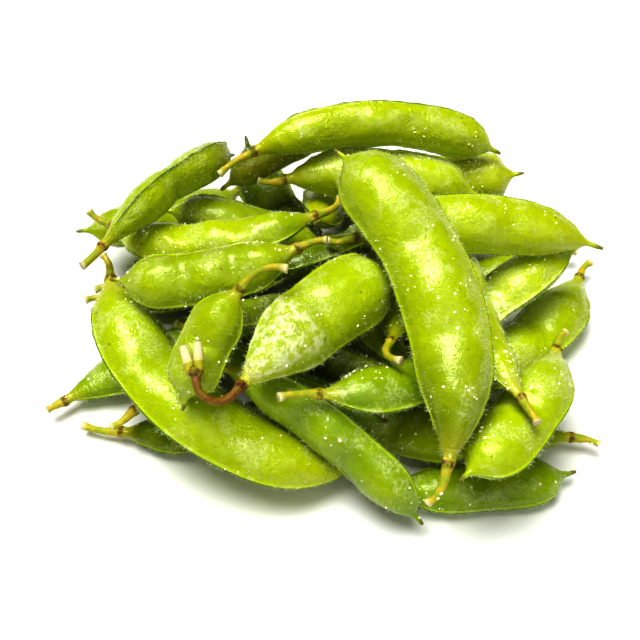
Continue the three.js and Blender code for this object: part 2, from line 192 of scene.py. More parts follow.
# %% Turn the corners into middles, directions and half sizes
class Pod:
    """What the solid says about one pod, in millimetres along its middle line from the stalk's end."""

    def __init__(self, name):
        self.name = name
        corners = ring_corners(name)
        middles = corners.mean(axis=1)
        body_end = len(corners) - BEAK_RINGS - 1
        spans = np.linalg.norm(corners[:, :4] - corners[:, 4:], axis=2)
        broadest = spans.max(axis=1).argmax()
        seam = spans[broadest].argmax()
        straight = (middles[BODY_START] + middles[body_end]) / 2
        bow = middles[BODY_START:body_end + 1].mean(axis=0) - straight
        # the seam on the outside of the bow comes first
        if np.dot(bow, corners[broadest, seam] - middles[broadest]) < 0:
            seam += SIDES // 2
        corners = np.roll(corners, -seam, axis=1)
        self.middles = middles
        self.across = corners[:, 0] - corners[:, 4]
        self.through = corners[:, 2] - corners[:, 6]
        steps = np.linalg.norm(np.diff(middles, axis=0), axis=1)
        self.knots = np.concatenate([[0.0], np.cumsum(steps)])
        self.calyx_start = self.knots[STALK_RINGS - 1]
        self.body_start = self.knots[BODY_START]
        self.body_end = self.knots[body_end]
        self.end = self.knots[-1]
        share = (self.knots - self.body_start) / (self.body_end - self.body_start)
        slimming = SECTION_SCALE * end_taper(share, NECK_TAPER) * end_taper(1 - share, SNOUT_TAPER)
        slimming[:STALK_RINGS] = STALK_SLIMMING
        slimming[STALK_RINGS:BODY_START] = CALYX_SLIMMING
        slimming[-BEAK_RINGS:] = BEAK_SLIMMING
        self.half_width = slimming * np.linalg.norm(self.across, axis=1) / 2
        self.half_thickness = slimming * np.linalg.norm(self.through, axis=1) / 2
        ratio = self.half_thickness / self.half_width
        self.valleys = [
            (self.knots[ring] - self.body_start) / (self.body_end - self.body_start)
            for ring in range(BODY_START + 2, body_end - 1)
            if ratio[ring] < VALLEY_RATIO
            and ratio[ring] < ratio[ring - 1]
            and ratio[ring] < ratio[ring + 1]
        ]


PODS = [Pod(name) for name in POD_NAMES]
for count in range(3):
    print(sum(len(pod.valleys) == count for pod in PODS), "pods with", count + 1, "beans")

# %% [markdown]
# ## The skin of a pod
# The solid's straight facets become a smooth skin by running a cubic curve through the rings. The
# section is a lens, fuller than a leaf and sharper than an ellipse, because the two valves meet in
# a seam at each edge. The seams are raised cords. Each bean pushes the flat of the valve up, and
# between two beans the valve is drawn in to a soft crease. All of this is a rule with a few sizes,
# so it is worked out for whole rings at a time with arrays rather than modelled by hand.

# %% Smooth curves through the rings
def cubic_through(knots, values, places, steady=False):
    """A cubic through the values. A steady one never swings past them."""
    slopes = np.gradient(values, knots, axis=0)
    if steady:
        secants = np.diff(values) / np.diff(knots)
        before = np.concatenate([secants[:1], secants])
        after = np.concatenate([secants, secants[-1:]])
        limit = 3 * np.minimum(abs(before), abs(after))
        slopes = np.where(before * after <= 0, 0, np.clip(slopes, -limit, limit))
    part = np.clip(np.searchsorted(knots, places, side="right") - 1, 0, len(knots) - 2)
    width = knots[part + 1] - knots[part]
    share = (places - knots[part]) / width
    if values.ndim > 1:
        share, width = share[:, None], width[:, None]
    rest = 1 - share
    ends = values[part] * rest**2 * (1 + 2 * share) + values[part + 1] * share**2 * (3 - 2 * share)
    turns = slopes[part] * share * rest**2 - slopes[part + 1] * share**2 * rest
    return ends + turns * width


def unit(vectors):
    return vectors / np.linalg.norm(vectors, axis=-1, keepdims=True)


def bell(offset, spread):
    return np.exp(-((offset / spread) ** 2))


# %% The sizes of the section
LENS_FLATNESS = 2.8       # 2 makes the valve as round as an ellipse, more makes it flatter
LENS_POWER = 0.92         # 0.5 makes blunt edges, more makes the seams sharper
BEAN_RISE = 0.13          # share of the thickness that a bean lifts the middle of the valve
BEAN_BREADTH = 0.62       # share of the half width that a bean takes
CREASE_DEPTH = 0.14       # share of the thickness lost in the crease between two beans
CREASE_BREADTH = 0.042    # share of the pod's length
CORD_HEIGHT = 0.24        # millimetres that the cord of a seam stands out
CORD_BREADTH = 0.16       # radians round the pod
CORD_RISE = 6             # per radian, how soon a cord is as thick through the pod as it is high
GUTTER_DEPTH = 0.22       # millimetres that the valve is sunk beside the cord
GUTTER_PLACE = 0.42       # radians from the seam
SWELL_SPREAD = 0.36       # share of the room between two creases over which a bean falls away
NECK_BLEND = 0.12         # share of the length over which the stalk turns into the lens of the body
SNOUT_BLEND = 0.08
FULL_SEAM_WIDTH = 5       # half width in millimetres from which a seam has its full cord
CALYX_LOBES = 5
CALYX_RUFFLE = 0.14       # millimetres
CALYX_PLACE = -0.8        # millimetres from the start of the body
CALYX_BREADTH = 0.9       # millimetres
SLOPE_STEP = 0.05         # millimetres to either side, to find which way the pod runs


def bean_swell(pod, share):
    """1 over the middle of a bean, falling to 0 between two beans and at the pod's ends."""
    edges = [0.0, *pod.valleys, 1.0]
    swell = np.zeros_like(share)
    for start, stop in zip(edges, edges[1:]):
        swell += bell(share - (start + stop) / 2, (stop - start) * SWELL_SPREAD)
    return np.clip(swell, 0, 1)


def crease(pod, share):
    return sum((bell(share - valley, CREASE_BREADTH) for valley in pod.valleys), np.zeros_like(share))


# %% A point of the skin from a place along the pod and an angle round it
def pod_axes(pod, places):
    """The middle of the pod, and the directions across its seams and through its valves."""
    middle = cubic_through(pod.knots, pod.middles, places)
    ahead = cubic_through(pod.knots, pod.middles, places + SLOPE_STEP)
    behind = cubic_through(pod.knots, pod.middles, places - SLOPE_STEP)
    along = unit(ahead - behind)
    across = cubic_through(pod.knots, unit(pod.across), places)
    across = unit(across - along * (across * along).sum(axis=1, keepdims=True))
    return middle, across, np.cross(along, across)


def pod_surface(pod, places, angles):
    """Points of the pod's skin in millimetres."""
    middle, across, flat = pod_axes(pod, places)
    share = (places - pod.body_start) / (pod.body_end - pod.body_start)
    body = np.clip(share / NECK_BLEND, 0, 1) * np.clip((1 - share) / SNOUT_BLEND, 0, 1)
    half_width = cubic_through(pod.knots, pod.half_width, places, steady=True)
    half_thickness = cubic_through(pod.knots, pod.half_thickness, places, steady=True)
    cosine, sine = np.cos(angles), np.sin(angles)
    from_seam = np.arccos(np.clip(abs(cosine), 0, 1))
    bulge = BEAN_RISE * bean_swell(pod, share) * bell(cosine, BEAN_BREADTH)
    dip = CREASE_DEPTH * crease(pod, share) * sine**2
    thickness = half_thickness * (1 + body * (bulge - dip))
    lens = (1 - abs(cosine) ** (2 + (LENS_FLATNESS - 2) * body)) ** (0.5 + (LENS_POWER - 0.5) * body)
    seam = body * np.minimum(half_width / FULL_SEAM_WIDTH, 1)
    cord = CORD_HEIGHT * bell(from_seam, CORD_BREADTH)
    gutter = GUTTER_DEPTH * bell(from_seam - GUTTER_PLACE, CORD_BREADTH)
    x = (half_width + seam * cord) * cosine
    swollen = cord * np.minimum(from_seam * CORD_RISE, 1) - gutter
    z = np.sign(sine) * (thickness * lens + seam * swollen)
    ruffle = CALYX_RUFFLE * (1 + np.cos(CALYX_LOBES * angles))
    calyx = ruffle * bell(places - pod.body_start - CALYX_PLACE, CALYX_BREADTH)
    return middle + across * (x + calyx * cosine)[:, None] + flat * (z + calyx * sine)[:, None]


# %% Lay a grid of points over the pod
AROUND = 64
SEAM_CROWDING = 0.45       # how much closer the points stand at the seams
RING_SPACING = 0.6         # millimetres between the rings of the body
STALK_STEPS = 16
CALYX_STEPS = 8
BEAK_STEPS = 8
END_DISH = 0.25            # millimetres that the broken end of the stalk is hollowed
BODY_ZONE = 2.0            # zone at the neck, where the calyx ends and the body starts
BEAK_ZONE = 3.0            # zone at the snout, where the body ends and the beak starts
SEAM_SHADE = 0.30          # radians round the pod over which the colour of a seam fades
# The lighter colour over each bean is a painted highlight on its bulge.
BEAN_HIGHLIGHT_SPREAD = 0.75          # share of the half width over which the colour of a bean fades


def ring_places(pod):
    """Places of the skin's rings, and a count that is 0 to 1 on the stalk, 2 calyx, 3 body, 4 beak."""
    stops = [0.0, pod.calyx_start, pod.body_start, pod.body_end, pod.end]
    body_steps = round((pod.body_end - pod.body_start) / RING_SPACING)
    steps = [STALK_STEPS, CALYX_STEPS, body_steps, BEAK_STEPS]
    places = []
    zones = []
    for zone, count in enumerate(steps):
        shares = np.arange(count) / count
        places.extend(stops[zone] + shares * (stops[zone + 1] - stops[zone]))
        zones.extend(zone + shares)
    return np.array([*places, pod.end]), np.array([*zones, float(len(steps))])


# %% Close the grid to a mesh
def tube_mesh(name, points, rings, sides):
    """A closed tube from its rings of points, followed by a point for either end, in millimetres."""
    last = (rings - 1) * sides
    faces = []
    for side in range(sides):
        beside = (side + 1) % sides
        faces.append((rings * sides, beside, side))
        faces.append((rings * sides + 1, last + side, last + beside))
        for here in range(0, last, sides):
            faces.append((here + side, here + beside, here + sides + beside, here + sides + side))
    mesh = bpy.data.meshes.new(name)
    mesh.from_pydata((points * MM).tolist(), [], faces)
    return mesh


def write_values(mesh, name, values):
    attribute = mesh.attributes.new(name, "FLOAT", "POINT")
    attribute.data.foreach_set("value", np.asarray(values, dtype=np.float32))


def skin_mesh(pod):
    places, zones = ring_places(pod)
    angles = np.arange(AROUND) * 2 * math.pi / AROUND
    angles -= SEAM_CROWDING / 2 * np.sin(2 * angles)
    place_grid, angle_grid = [grid.ravel() for grid in np.meshgrid(places, angles, indexing="ij")]
    points = pod_surface(pod, place_grid, angle_grid)
    tips = np.array([pod.middles[0], pod.middles[-1]])
    tips[0] += unit(pod.middles[1] - pod.middles[0]) * END_DISH
    mesh = tube_mesh(pod.name + "_skin", np.concatenate([points, tips]), len(places), AROUND)
    share = (place_grid - pod.body_start) / (pod.body_end - pod.body_start)
    seam = bell(np.arccos(np.clip(abs(np.cos(angle_grid)), 0, 1)), SEAM_SHADE)
    # a painted highlight, lightest over the middle of each bean
    bean = bean_swell(pod, share) * bell(np.cos(angle_grid), BEAN_HIGHLIGHT_SPREAD)
    body = ((share > 0) & (share < 1)).astype(float)
    write_values(mesh, "zone", [*np.repeat(zones, AROUND), 0.0, zones[-1]])
    write_values(mesh, "seam", [*(seam * body), 0.0, 0.0])
    write_values(mesh, "bean", [*(bean * body), 0.0, 0.0])
    return mesh


# %% [markdown]
# ## Geometry Nodes: a few words
# What follows a surface or repeats on it is made by Geometry Nodes. Each tree is built here in the
# script. A small helper adds a node, sets its properties and fills its inputs, either with numbers
# or with the outputs of other nodes. A second helper puts a tree on a copy of a mesh, gives the
# tree's named inputs their values, and turns what comes out into a plain mesh.

# %% Helpers for node trees
def put(tree, kind, inputs=None, **properties):
    node = tree.nodes.new(kind)
    for name, value in properties.items():
        setattr(node, name, value)
    for name, value in (inputs or {}).items():
        if isinstance(value, bpy.types.NodeSocket):
            tree.links.new(value, node.inputs[name])
        else:
            node.inputs[name].default_value = value
    return node


def math_node(tree, operation, first, second=0.0, third=0.0):
    return put(tree, "ShaderNodeMath", {0: first, 1: second, 2: third}, operation=operation).outputs[0]


def times(tree, first, second):
    return math_node(tree, "MULTIPLY", first, second)


def scaled(tree, vector, size):
    return put(tree, "ShaderNodeVectorMath", {0: vector, "Scale": size}, operation="SCALE").outputs[0]


def noise_scale(tree, size):
    """How many patches of a size in metres a pattern has in a metre."""
    return math_node(tree, "DIVIDE", 1.0, size)


def ramp(tree, value, start, stop, low=0.0, high=1.0):
    inputs = {"Value": value, "From Min": start, "From Max": stop, "To Min": low, "To Max": high}
    return put(tree, "ShaderNodeMapRange", inputs, interpolation_type="SMOOTHSTEP").outputs[0]


# %% Make a geometry tree and run it on a mesh
def new_geometry_tree(name, sizes):
    """A tree with a Geometry input, named number inputs, a Seed, a Material and a Geometry output."""
    tree = bpy.data.node_groups.new(name, "GeometryNodeTree")
    tree.interface.new_socket("Geometry", in_out="INPUT", socket_type="NodeSocketGeometry")
    for size in sizes:
        tree.interface.new_socket(size, in_out="INPUT", socket_type="NodeSocketFloat")
    tree.interface.new_socket("Seed", in_out="INPUT", socket_type="NodeSocketInt")
    tree.interface.new_socket("Material", in_out="INPUT", socket_type="NodeSocketMaterial")
    tree.interface.new_socket("Geometry", in_out="OUTPUT", socket_type="NodeSocketGeometry")
    return tree, tree.nodes.new("NodeGroupInput").outputs


def named(tree, name):
    """A value that the mesh carries at its points."""
    return put(tree, "GeometryNodeInputNamedAttribute", {"Name": name}, data_type="FLOAT").outputs[0]


def realize(tree, geometry):
    return put(tree, "GeometryNodeRealizeInstances", {"Geometry": geometry}).outputs[0]


def finish_tree(tree, geometry, material=None):
    if material is not None:
        inputs = {"Geometry": realize(tree, geometry), "Material": material}
        geometry = put(tree, "GeometryNodeSetMaterial", inputs).outputs[0]
    put(tree, "NodeGroupOutput", {"Geometry": geometry})


def run_tree(tree, mesh, name, values):
    """The plain mesh that the tree makes from a mesh with these values for its named inputs."""
    carrier = bpy.data.objects.new(name, mesh)
    bpy.context.scene.collection.objects.link(carrier)
    modifier = carrier.modifiers.new(tree.name, "NODES")
    modifier.node_group = tree
    for item in tree.interface.items_tree:
        if item.in_out == "INPUT" and item.name in values:
            modifier[item.identifier] = values[item.name]
    evaluated = carrier.evaluated_get(bpy.context.evaluated_depsgraph_get())
    result = bpy.data.meshes.new_from_object(evaluated)
    bpy.data.objects.remove(carrier)
    result.name = name
    return result


# %% [markdown]
# ## Relief of the skin
# A boiled pod is not polished: the valve sinks and swells a little between its veins, and it
# puckers beside the seams where the two valves pull on each other. A noise that moves the points
# along their normals makes both. It is real relief, so it shows in the outline and in the gloss.
# The finest grain is left to the material.

# %% The relief tree
PUCKERED_EDGE = (-0.05, 0.12)    # how sharply a puckered part ends, in heights of the noise
PUCKER_ELSEWHERE = 0.2           # share of the puckers left on the smoother parts
PATCH_SHIFT = 0.5                # moves the puckered parts off the swells


def relief_tree():
    sizes = ["Swell height", "Swell size", "Pucker height", "Pucker size"]
    tree, given = new_geometry_tree("Skin relief", sizes)
    place = put(tree, "GeometryNodeInputPosition").outputs[0]
    seam = named(tree, "seam")

    def waves(size, shift):
        fourth = math_node(tree, "ADD", given["Seed"], shift)
        noise = {"Vector": place, "W": fourth, "Scale": noise_scale(tree, size), "Detail": 2.0}
        noise = put(tree, "ShaderNodeTexNoise", noise, noise_dimensions="4D").outputs[0]
        return math_node(tree, "SUBTRACT", noise, 0.5)

    swell = times(tree, waves(given["Swell size"], 0.0), given["Swell height"])
    patch = waves(given["Swell size"], PATCH_SHIFT)
    patch = ramp(tree, patch, *PUCKERED_EDGE, PUCKER_ELSEWHERE, 1.0)
    where = math_node(tree, "MAXIMUM", patch, seam)
    pucker = times(tree, waves(given["Pucker size"], 0.0), given["Pucker height"])
    pucker = times(tree, pucker, where)
    normal = put(tree, "GeometryNodeInputNormal").outputs[0]
    offset = scaled(tree, normal, math_node(tree, "ADD", swell, pucker))
    moved = put(tree, "GeometryNodeSetPosition", {"Geometry": given["Geometry"], "Offset": offset})
    finish_tree(tree, moved.outputs[0])
    return tree


RELIEF = relief_tree()
RELIEF_SIZES = {
    "Swell height": 0.65 * MM,
    "Swell size": 5.0 * MM,
    "Pucker height": 0.85 * MM,
    "Pucker size": 2.4 * MM,
}
print("relief:", ", ".join(f"{name} {size / MM:.2f} mm" for name, size in RELIEF_SIZES.items()))

# %% [markdown]
# ## Finishes: shared effects
# Two effects serve more than one material, so each is a node group that is built once: a mottle,
# which is a soft patchy mask, and a grain, which is a height of fine bumps. A group puts out only
# masks and heights, and the shader stays in the material.

# %% Mottle and grain
FOLD_HEIGHT = 3.0          # lifts the noise's folds to about 1
PIMPLE_REACH = 0.25        # share of a cell that a pimple fills


def object_place(tree):
    return put(tree, "ShaderNodeTexCoord").outputs["Object"]


def new_effect(name, sizes, result):
    tree = bpy.data.node_groups.new(name, "ShaderNodeTree")
    for size in sizes:
        tree.interface.new_socket(size, in_out="INPUT", socket_type="NodeSocketFloat")
    tree.interface.new_socket(result, in_out="OUTPUT", socket_type="NodeSocketFloat")
    return tree, tree.nodes.new("NodeGroupInput").outputs, object_place(tree)


def mottle_effect():
    """A soft mask of patches of the given size in metres."""
    tree, given, place = new_effect("Mottle", ["Patch size", "Contrast"], "Mask")
    scale = noise_scale(tree, given["Patch size"])
    noise = put(tree, "ShaderNodeTexNoise", {"Vector": place, "Scale": scale, "Detail": 3.0})
    shifted = math_node(tree, "SUBTRACT", noise.outputs[0], 0.5)
    spread = math_node(tree, "MULTIPLY_ADD", shifted, given["Contrast"], 0.5)
    mask = put(tree, "ShaderNodeClamp", {"Value": spread}).outputs[0]
    put(tree, "NodeGroupOutput", {"Mask": mask})
    return tree


def grain_effect():
    """Heights of a leathery skin, 0 to about 1: crumpled facets with sharp folds, and pimples."""
    tree, given, place = new_effect("Grain", ["Fold size", "Pimple share"], "Height")
    scale = noise_scale(tree, given["Fold size"])
    noise = {"Vector": place, "Scale": scale, "Detail": 2.0, "Distortion": 0.3}
    noise = put(tree, "ShaderNodeTexNoise", noise).outputs[0]
    centred = math_node(tree, "SUBTRACT", noise, 0.5)
    folds = times(tree, math_node(tree, "ABSOLUTE", centred), FOLD_HEIGHT)
    cells = put(tree, "ShaderNodeTexVoronoi", {"Vector": place, "Scale": scale})
    pimple = ramp(tree, cells.outputs["Distance"], PIMPLE_REACH, 0.0)
    height = math_node(tree, "MULTIPLY_ADD", pimple, given["Pimple share"], folds)
    put(tree, "NodeGroupOutput", {"Height": height})
    return tree


MOTTLE = mottle_effect()
GRAIN = grain_effect()
print("effects:", MOTTLE.name, "and", GRAIN.name)

# %% Helpers for materials
def linear_part(part):
    """The sRGB curve, backwards."""
    return ((part + 0.055) / 1.055) ** 2.4 if part > 0.04045 else part / 12.92


def linear(code):
    """A colour written as in a paint chart, such as b4d414, as the linear numbers a shader takes."""
    parts = [int(code[start:start + 2], 16) / 255 for start in (0, 2, 4)]
    return (*map(linear_part, parts), 1.0)


def new_material(name):
    material = bpy.data.materials.new(name)
    material.use_nodes = True
    return material, material.node_tree, material.node_tree.nodes["Principled BSDF"]


def mix_colours(tree, factor, first, second):
    mix = put(tree, "ShaderNodeMix", {0: factor, 6: first, 7: second}, data_type="RGBA")
    return mix.outputs[2]


def layered(tree, colour, layers):
    for mask, over in layers:
        colour = mix_colours(tree, mask, colour, over)
    return colour


def effect(tree, group, **sizes):
    inputs = {name.replace("_", " "): size for name, size in sizes.items()}
    return put(tree, "ShaderNodeGroup", inputs, node_tree=group).outputs[0]


def attribute(tree, name, output="Fac"):
    return put(tree, "ShaderNodeAttribute", attribute_name=name).outputs[output]


def raised(tree, mask, gain, base):
    """A mask stretched by a gain and lifted by a base."""
    return math_node(tree, "MULTIPLY_ADD", mask, gain, base)


def set_numbers(shader, numbers):
    for name, number in numbers.items():
        shader.inputs[name].default_value = number


# %% [markdown]
# ## The pods' skin
# The skin is a waxy green that is wet with salt water, so it has a clear coat over a softer gloss.
# Light goes a few millimetres into it, which is why thin edges glow yellow. The colour is lightest
# where a bean pushes the valve up, which is a painted highlight, lighter beside the seams, which is
# partly a painted sheen, darker on the seams' cords, yellow at the neck and brown at the dry tip of
# the beak. Salt water dries on the upper sides as a thin white film, and on two necks as a crust;
# both are whiter the more the skin faces up, so they also paint the highlight there. Each pod has
# its own tint, which the mesh carries as an attribute, so one material does for all of them.

# %% Skin colours
YELLOW_GREEN = linear("d0e000")
DEEP_GREEN = linear("3e7200")
NECK_YELLOW = linear("ccc62c")
DRY_BROWN = linear("7c6a20")
# The brine white below is dried salt and also a painted highlight on the skin that faces up.
BRINE_AND_HIGHLIGHT_WHITE = linear("f2f6cc")
SPECK_SPACING = 4 * MM
SPECK_EDGE = (0.10, 0.05)  # where a speck ends and where it is full, as shares of that spacing
SPECK_STRENGTH = 0.6
SPECKED_SHARE = 0.3        # share of those places that have a brown speck
# The more the skin faces up, the whiter the film, which makes it partly a painted highlight.
FILM_AND_HIGHLIGHT_EDGE = (0.55, 1.0)    # where a patch of the film starts and is full, in heights of the mottle
FILM_AND_HIGHLIGHT_FACING = (0.25, 0.85)  # how far up the skin has to face for a trace and for all of it
FLECKS = (0.36, 0.02)      # how much whiter a fleck of the film is, and how white it is elsewhere
CRUST_AND_HIGHLIGHT_FLAKES = (0.62, 0.10)  # the same for a crust
FINE_SHARE = 0.25          # height of the finest grain, as a share of the folds


def dry_specks(tree):
    """A mask of small brown specks, far apart."""
    spacing = {"Vector": object_place(tree), "Scale": 1 / SPECK_SPACING}
    cells = put(tree, "ShaderNodeTexVoronoi", spacing)
    chance = put(tree, "ShaderNodeSeparateColor", {"Color": cells.outputs["Color"]}).outputs[0]
    chosen = math_node(tree, "LESS_THAN", chance, SPECKED_SHARE)
    return times(tree, ramp(tree, cells.outputs["Distance"], *SPECK_EDGE, 0.0, SPECK_STRENGTH), chosen)


def brine_and_painted_highlight(tree):
    """A mask of the salty film in patches on the upper sides and of crusts on some necks, partly
    painted highlight.
    """
    patches = ramp(tree, effect(tree, MOTTLE, Patch_size=6 * MM, Contrast=5.0), *FILM_AND_HIGHLIGHT_EDGE)
    # painted highlight: the film is whiter the more the skin faces up
    patches = times(tree, patches, ramp(tree, attribute(tree, "sky"), *FILM_AND_HIGHLIGHT_FACING))
    flecks = effect(tree, MOTTLE, Patch_size=0.5 * MM, Contrast=7.0)
    patches = times(tree, patches, raised(tree, flecks, *FLECKS))
    flakes = effect(tree, MOTTLE, Patch_size=1.5 * MM, Contrast=9.0)
    crust_and_highlight_masks = times(tree, raised(tree, flakes, *CRUST_AND_HIGHLIGHT_FLAKES), attribute(tree, "crust"))
    return math_node(tree, "MAXIMUM", patches, crust_and_highlight_masks)


# %% Lay the finishes over each other
def skin_colour(tree, patches, spots, brine_and_highlight):
    """The pod's tint and its layers, each a mask and a colour; several are partly painted light and
    shade.
    """
    zone = attribute(tree, "zone")
    seam = attribute(tree, "seam")
    layers = [
        (times(tree, patches, 0.35), YELLOW_GREEN),
        # painted highlight over each bean, which leaves the creases between beans darker
        (times(tree, attribute(tree, "bean"), 0.25), YELLOW_GREEN),
        (times(tree, spots, 0.12), DEEP_GREEN),
        # partly the skin's own colour and partly a painted sheen: a lighter band beside each seam
        (ramp(tree, seam, 0.1, 0.5, 0.0, 0.5), YELLOW_GREEN),  # light beside the seams
        (ramp(tree, seam, 0.72, 0.95, 0.0, 0.8), DEEP_GREEN),  # and dark on their cords
        (dry_specks(tree), DRY_BROWN),
        # dried brine, partly painted highlight on the upper sides
        (brine_and_highlight, BRINE_AND_HIGHLIGHT_WHITE),
        (ramp(tree, zone, BODY_ZONE + 0.12, BODY_ZONE, 0.0, 0.6), NECK_YELLOW),
        (ramp(tree, zone, BEAK_ZONE + 0.2, BEAK_ZONE + 0.75, 0.0, 0.8), DRY_BROWN),
    ]
    return layered(tree, attribute(tree, "tint", "Color"), layers)


def skin_grain(tree, patches):
    """The height of the leathery grain, stronger in patches."""
    folds = effect(tree, GRAIN, Fold_size=1.7 * MM, Pimple_share=0.25)
    where = ramp(tree, patches, 0.3, 0.9, 0.2, 1.0)
    folds = times(tree, folds, math_node(tree, "ADD", where, attribute(tree, "crust")))
    fine = effect(tree, GRAIN, Fold_size=0.6 * MM, Pimple_share=0.3)
    return raised(tree, fine, FINE_SHARE, folds)


# %% Skin material
GRAIN_HEIGHT = 0.18 * MM
SKIN_ROUGHNESS = 0.25
SPOT_ROUGHNESS = 0.20      # added on the small spots
BRINE_AND_HIGHLIGHT_ROUGHNESS = 0.05     # added under the film
SKIN_NUMBERS = {
    "Specular IOR Level": 0.15,                     # dull wax under the wet coat
    "Specular Tint": (0.92, 1.0, 0.55, 1.0),
    "Subsurface Weight": 0.18,
    "Subsurface Radius": (1.0, 1.0, 0.15),          # yellow light goes deep, blue hardly at all
    "Subsurface Scale": 1.6 * MM,
    "Sheen Weight": 0.02,
    "Sheen Roughness": 0.5,
    "Coat Weight": 1.0,
    "Coat Roughness": 0.15,
}


def skin_material():
    material, tree, shader = new_material("pod skin")
    patches = effect(tree, MOTTLE, Patch_size=7 * MM, Contrast=3.0)
    spots = effect(tree, MOTTLE, Patch_size=1.4 * MM, Contrast=3.5)
    brine_and_highlight = brine_and_painted_highlight(tree)
    rough = raised(tree, spots, SPOT_ROUGHNESS, SKIN_ROUGHNESS)
    rough = raised(tree, brine_and_highlight, BRINE_AND_HIGHLIGHT_ROUGHNESS, rough)
    bump = {"Height": skin_grain(tree, patches), "Distance": GRAIN_HEIGHT, "Strength": 1.0}
    bump = put(tree, "ShaderNodeBump", bump).outputs[0]
    tree.links.new(skin_colour(tree, patches, spots, brine_and_highlight), shader.inputs["Base Color"])
    tree.links.new(rough, shader.inputs["Roughness"])
    tree.links.new(bump, shader.inputs["Normal"])
    tree.links.new(bump, shader.inputs["Coat Normal"])
    set_numbers(shader, SKIN_NUMBERS)
    return material


SKIN = skin_material()
print("material:", SKIN.name)

# %% [markdown]
# ## The stalks
# The stalk is drier than the pod: yellow, with a brown ring where the calyx sits and a pale,
# fibrous end where it broke off. It has its own material on the first part of the same mesh, so
# stalk and pod stay one grown piece.

# %% Stalk material
STALK_YELLOW = linear("dcc63a")
STALK_GREEN = linear("aebc28")
STALK_BROWN = linear("6a4012")
DRY_ORANGE = linear("a06c22")
BROKEN_CREAM = linear("f2e6b8")


def stalk_material():
    material, tree, shader = new_material("stalk")
    zone = attribute(tree, "zone")
    dryness = attribute(tree, "dryness")
    patches = effect(tree, MOTTLE, Patch_size=2.0 * MM, Contrast=4.0)
    scars = raised(tree, effect(tree, MOTTLE, Patch_size=0.8 * MM, Contrast=6.0), 0.6, 0.3)
    calyx_ring = times(tree, ramp(tree, zone, 1.4, 1.65), ramp(tree, zone, 1.98, 1.8))
    layers = [
        (patches, STALK_GREEN),
        (ramp(tree, zone, 0.25, 0.0), BROKEN_CREAM),
        (times(tree, raised(tree, patches, -0.35, 0.95), dryness), DRY_ORANGE),
        (times(tree, raised(tree, dryness, 0.55, calyx_ring), scars), STALK_BROWN),
    ]
    grain = effect(tree, GRAIN, Fold_size=0.7 * MM, Pimple_share=0.2)
    bump = put(tree, "ShaderNodeBump", {"Height": grain, "Distance": 0.12 * MM, "Strength": 0.7})
    tree.links.new(layered(tree, STALK_YELLOW, layers), shader.inputs["Base Color"])
    tree.links.new(raised(tree, patches, 0.2, 0.4), shader.inputs["Roughness"])
    tree.links.new(bump.outputs[0], shader.inputs["Normal"])
    set_numbers(shader, {"Subsurface Weight": 0.1, "Subsurface Scale": 1.0 * MM})
    return material


STALK = stalk_material()
print("material:", STALK.name)

# %% [markdown]
# ## Making the pods
# Each pod gets its skin, its relief and a tint. Pods on top of the heap get yellow green tints,
# bright and pale ones that are partly painted light; those lower down and at the back get the
# shaded tint, which is painted shade, and a few are olive.

# %% Tints
# The shaded tint is painted shade for pods low in the heap and at the back. The bright and pale tints
# are partly the pods' own colour and partly painted light on pods near the top.
TINTS = {
    "bright_and_lit": linear("cad802"),
    "pale": linear("c0d202"),
    "lime": linear("b0c200"),
    "green": linear("8eaa00"),
    "shaded": linear("445e00"),
    "olive": linear("8c8410"),
    "yellow": linear("ced600"),
}
POD_TINTS = {
    "bright_and_lit": (
        "crown_pod_2", "crown_pod_3", "crown_pod_4", "crown_pod_5", "right_pod_1", "right_pod_2",
    ),
    "pale": ("crown_pod_1", "crown_pod_6", "right_pod_3", "right_pod_4", "left_pod_1", "left_pod_5"),
    "green": ("left_pod_8", "front_pod_1", "front_pod_2", "front_pod_3", "right_pod_5", "right_pod_6"),
    "shaded": ("left_pod_4", "left_pod_6", "left_pod_9", "left_pod_10", "front_pod_4", "front_pod_7"),
    "yellow": ("crown_pod_7", "back_pod_3"),
    "olive": ("back_pod_4", "back_pod_5"),
}
# the remaining middle and back pods get the shaded tint, which is painted shade
SHADED_GROUPS = ("middle", "back")  # the rest of these are deep, and all others are lime
DRY_STALKS = ("crown_pod_6",)     # stalks that have dried to an orange brown
# crown_pod_1's neck gets the shaded tint, painted shade
NECK_TINTS = {"crown_pod_1": "shaded", "crown_pod_3": "green"}
# left_pod_5's olive snout is partly its dry tip's own colour and partly painted shade
SNOUT_TINTS = {"left_pod_5": "olive", "left_pod_1": "yellow", "crown_pod_4": "yellow"}
END_REACH = 0.35           # share of the pod over which the tint of an end fades
# Crusts are dried brine and, being whiter where the skin faces up, partly painted highlight.
NECKS_UNDER_CRUST_AND_HIGHLIGHT = {"crown_pod_6": 0.46, "right_pod_2": 0.55}  # share of the pod under a crust of brine
CRUST_AND_HIGHLIGHT_EDGE = 0.06          # share of the pod over which the crust ends
CRUST_AND_HIGHLIGHT_FACING = 0.3         # how far up the skin has to face for a full crust


# %% Give the tints to the points of a pod
def tint_name(name):
    for tint, names in POD_TINTS.items():
        if name in names:
            return tint
    return "shaded" if name.startswith(SHADED_GROUPS) else "lime"


def pod_tints(name, zones):
    """A colour for every point of a pod, blended towards its ends where they differ."""
    tint = np.array(TINTS[tint_name(name)])
    neck = np.array(TINTS[NECK_TINTS.get(name, tint_name(name))])
    snout = np.array(TINTS[SNOUT_TINTS.get(name, tint_name(name))])
    near_neck = np.clip((BODY_ZONE + END_REACH - zones) / END_REACH, 0, 1)[:, None]
    near_snout = np.clip((zones - BEAK_ZONE + END_REACH) / END_REACH, 0, 1)[:, None]
    return tint + near_neck * (neck - tint) + near_snout * (snout - tint)


